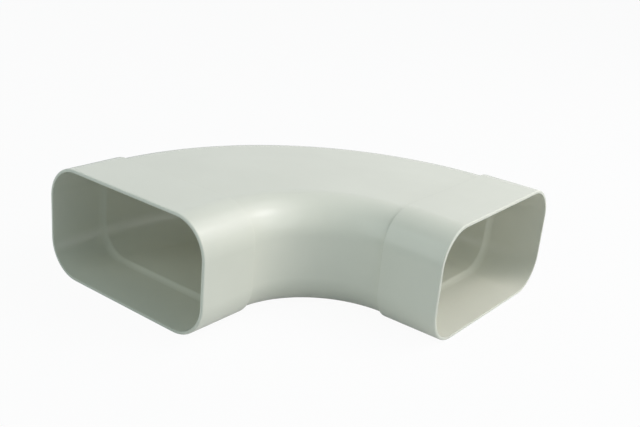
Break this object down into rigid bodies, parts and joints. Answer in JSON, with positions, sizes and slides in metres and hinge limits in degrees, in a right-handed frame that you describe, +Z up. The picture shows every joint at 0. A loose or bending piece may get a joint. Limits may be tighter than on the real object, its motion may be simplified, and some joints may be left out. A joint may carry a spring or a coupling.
{
  "type": "flat duct elbow",
  "caption": "Horizontal quarter bend for flat rectangular ventilation duct, with rounded corners and a plain push-fit socket at each end.",
  "frame": {"origin": "middle of the overall box, on the floor that the two sockets lie on", "axes": "+Z up, square to the plane of the bend; -Y out of one mouth and +X out of the other"},
  "size_m": [0.295, 0.295, 0.095],
  "materials": {
    "white_plastic": "satin"
  },
  "bodies": {
    "root": {"elbow": "white_plastic"}
  },
  "joints": []
}
